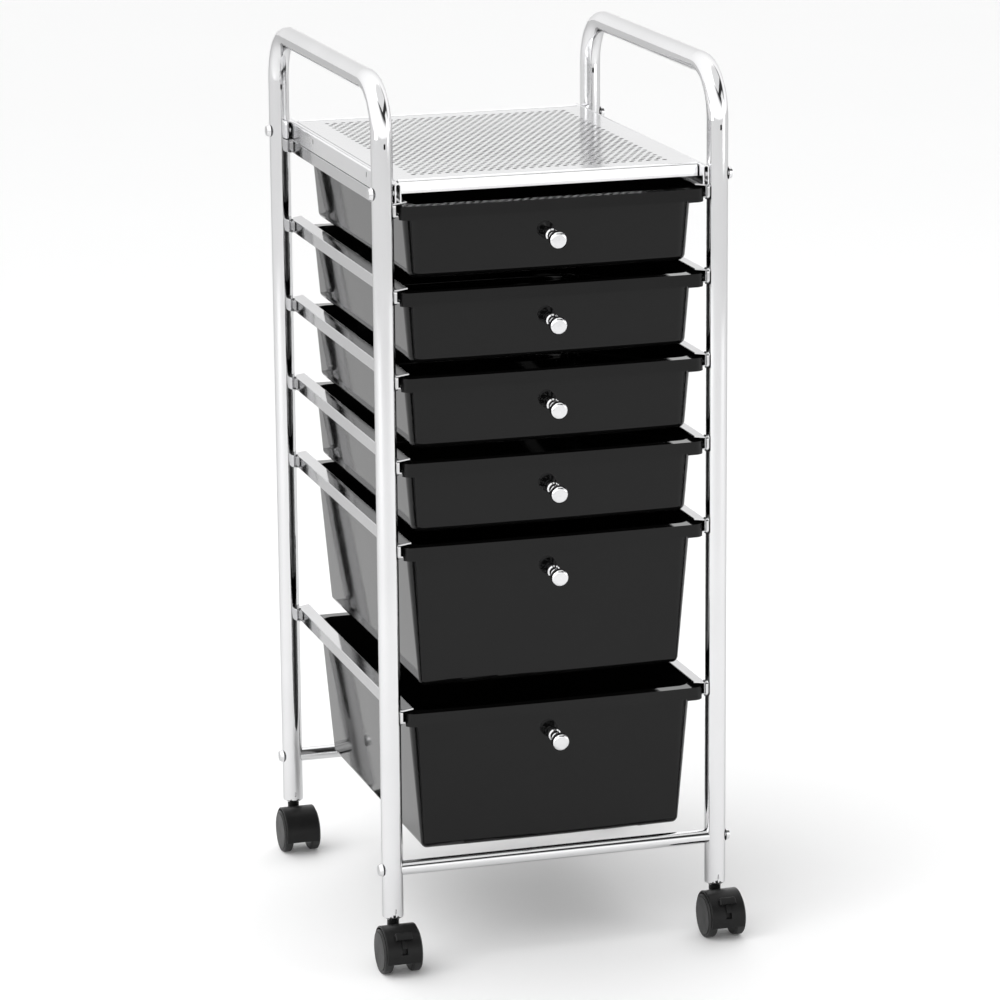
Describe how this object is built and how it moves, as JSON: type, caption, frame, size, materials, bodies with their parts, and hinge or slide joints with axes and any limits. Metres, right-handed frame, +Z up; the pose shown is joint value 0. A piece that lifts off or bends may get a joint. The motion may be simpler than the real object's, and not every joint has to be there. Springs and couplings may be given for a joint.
{
  "type": "rolling salon trolley",
  "caption": "Free-standing storage trolley: two bent tube side frames carry a flat perforated top tray and a stack of sliding plastic drawers on swivelling twin-wheel casters.",
  "frame": {"origin": "on the floor, under the middle of the trolley's outline", "axes": "+Z up; the drawers open towards -Y, the front; +X is to the right of someone facing the front"},
  "size_m": [0.342, 0.4095, 0.805],
  "materials": {
    "chrome_tube": "bright chrome plated steel tube",
    "rail_chrome": "chrome plated folded sheet",
    "tray_chrome": "bright plated sheet, slightly satin",
    "knob_chrome": "bright plated",
    "bolt_steel": "plated dome head",
    "pin_steel": "zinc plated",
    "insert_steel": "moulded nylon",
    "drawer_plastic": "glossy black, injection moulded",
    "caster_plastic": "satin black moulded",
    "wheel_plastic": "satin dark grey moulded",
    "brake_plastic": "satin black moulded"
  },
  "bodies": {
    "frame": {"left_side_frame": "chrome_tube", "right_side_frame": "chrome_tube", "front_brace": "chrome_tube", "rear_brace": "chrome_tube", "frame_bolts": "bolt_steel", "caster_inserts": "insert_steel", "top_tray": "tray_chrome", "left_rail_1": "rail_chrome", "right_rail_1": "rail_chrome", "left_rail_2": "rail_chrome", "right_rail_2": "rail_chrome", "left_rail_3": "rail_chrome", "right_rail_3": "rail_chrome", "left_rail_4": "rail_chrome", "right_rail_4": "rail_chrome", "left_rail_5": "rail_chrome", "right_rail_5": "rail_chrome", "left_rail_6": "rail_chrome", "right_rail_6": "rail_chrome"},
    "drawer_1": {"drawer_1": "drawer_plastic", "knob_1": "knob_chrome", "knob_screw_1": "pin_steel"},
    "drawer_2": {"drawer_2": "drawer_plastic", "knob_2": "knob_chrome", "knob_screw_2": "pin_steel"},
    "drawer_3": {"drawer_3": "drawer_plastic", "knob_3": "knob_chrome", "knob_screw_3": "pin_steel"},
    "drawer_4": {"drawer_4": "drawer_plastic", "knob_4": "knob_chrome", "knob_screw_4": "pin_steel"},
    "drawer_5": {"drawer_5": "drawer_plastic", "knob_5": "knob_chrome", "knob_screw_5": "pin_steel"},
    "drawer_6": {"drawer_6": "drawer_plastic", "knob_6": "knob_chrome", "knob_screw_6": "pin_steel"},
    "front_left_caster": {"front_left_caster_hood": "caster_plastic", "front_left_caster_stem": "pin_steel", "front_left_caster_axle": "pin_steel"},
    "front_left_wheel_left": {"front_left_wheel_left": "wheel_plastic"},
    "front_left_wheel_right": {"front_left_wheel_right": "wheel_plastic"},
    "front_left_brake_lever": {"front_left_brake_lever": "brake_plastic"},
    "front_right_caster": {"front_right_caster_hood": "caster_plastic", "front_right_caster_stem": "pin_steel", "front_right_caster_axle": "pin_steel"},
    "front_right_wheel_left": {"front_right_wheel_left": "wheel_plastic"},
    "front_right_wheel_right": {"front_right_wheel_right": "wheel_plastic"},
    "front_right_brake_lever": {"front_right_brake_lever": "brake_plastic"},
    "rear_left_caster": {"rear_left_caster_hood": "caster_plastic", "rear_left_caster_stem": "pin_steel", "rear_left_caster_axle": "pin_steel"},
    "rear_left_wheel_left": {"rear_left_wheel_left": "wheel_plastic"},
    "rear_left_wheel_right": {"rear_left_wheel_right": "wheel_plastic"},
    "rear_right_caster": {"rear_right_caster_hood": "caster_plastic", "rear_right_caster_stem": "pin_steel", "rear_right_caster_axle": "pin_steel"},
    "rear_right_wheel_left": {"rear_right_wheel_left": "wheel_plastic"},
    "rear_right_wheel_right": {"rear_right_wheel_right": "wheel_plastic"}
  },
  "joints": [
    {"name": "drawer_1_slide", "type": "slide", "parent": "frame", "child": "drawer_1", "axis": [0, -1, 0], "range_m": [0, 0.26]},
    {"name": "drawer_2_slide", "type": "slide", "parent": "frame", "child": "drawer_2", "axis": [0, -1, 0], "range_m": [0, 0.26]},
    {"name": "drawer_3_slide", "type": "slide", "parent": "frame", "child": "drawer_3", "axis": [0, -1, 0], "range_m": [0, 0.26]},
    {"name": "drawer_4_slide", "type": "slide", "parent": "frame", "child": "drawer_4", "axis": [0, -1, 0], "range_m": [0, 0.26]},
    {"name": "drawer_5_slide", "type": "slide", "parent": "frame", "child": "drawer_5", "axis": [0, -1, 0], "range_m": [0, 0.26]},
    {"name": "drawer_6_slide", "type": "slide", "parent": "frame", "child": "drawer_6", "axis": [0, -1, 0], "range_m": [0, 0.26]},
    {"name": "front_left_swivel", "type": "hinge", "parent": "frame", "child": "front_left_caster", "pos_m": [-0.153, -0.16475, 0.05], "axis": [0, 0, 1], "continuous": true},
    {"name": "front_left_wheel_left_spin", "type": "hinge", "parent": "front_left_caster", "child": "front_left_wheel_left", "pos_m": [-0.153, -0.18175, 0.02], "axis": [1, 0, 0], "continuous": true},
    {"name": "front_left_wheel_right_spin", "type": "hinge", "parent": "front_left_caster", "child": "front_left_wheel_right", "pos_m": [-0.153, -0.18175, 0.02], "axis": [1, 0, 0], "continuous": true},
    {"name": "front_left_brake_lever_press", "type": "hinge", "parent": "front_left_caster", "child": "front_left_brake_lever", "pos_m": [-0.153, -0.18175, 0.02], "axis": [1, 0, 0], "range_deg": [0, 12]},
    {"name": "front_right_swivel", "type": "hinge", "parent": "frame", "child": "front_right_caster", "pos_m": [0.153, -0.16475, 0.05], "axis": [0, 0, 1], "continuous": true},
    {"name": "front_right_wheel_left_spin", "type": "hinge", "parent": "front_right_caster", "child": "front_right_wheel_left", "pos_m": [0.153, -0.18175, 0.02], "axis": [1, 0, 0], "continuous": true},
    {"name": "front_right_wheel_right_spin", "type": "hinge", "parent": "front_right_caster", "child": "front_right_wheel_right", "pos_m": [0.153, -0.18175, 0.02], "axis": [1, 0, 0], "continuous": true},
    {"name": "front_right_brake_lever_press", "type": "hinge", "parent": "front_right_caster", "child": "front_right_brake_lever", "pos_m": [0.153, -0.18175, 0.02], "axis": [1, 0, 0], "range_deg": [0, 12]},
    {"name": "rear_left_swivel", "type": "hinge", "parent": "frame", "child": "rear_left_caster", "pos_m": [-0.153, 0.19525, 0.05], "axis": [0, 0, 1], "continuous": true},
    {"name": "rear_left_wheel_left_spin", "type": "hinge", "parent": "rear_left_caster", "child": "rear_left_wheel_left", "pos_m": [-0.153, 0.17825, 0.02], "axis": [1, 0, 0], "continuous": true},
    {"name": "rear_left_wheel_right_spin", "type": "hinge", "parent": "rear_left_caster", "child": "rear_left_wheel_right", "pos_m": [-0.153, 0.17825, 0.02], "axis": [1, 0, 0], "continuous": true},
    {"name": "rear_right_swivel", "type": "hinge", "parent": "frame", "child": "rear_right_caster", "pos_m": [0.153, 0.19525, 0.05], "axis": [0, 0, 1], "continuous": true},
    {"name": "rear_right_wheel_left_spin", "type": "hinge", "parent": "rear_right_caster", "child": "rear_right_wheel_left", "pos_m": [0.153, 0.17825, 0.02], "axis": [1, 0, 0], "continuous": true},
    {"name": "rear_right_wheel_right_spin", "type": "hinge", "parent": "rear_right_caster", "child": "rear_right_wheel_right", "pos_m": [0.153, 0.17825, 0.02], "axis": [1, 0, 0], "continuous": true}
  ]
}
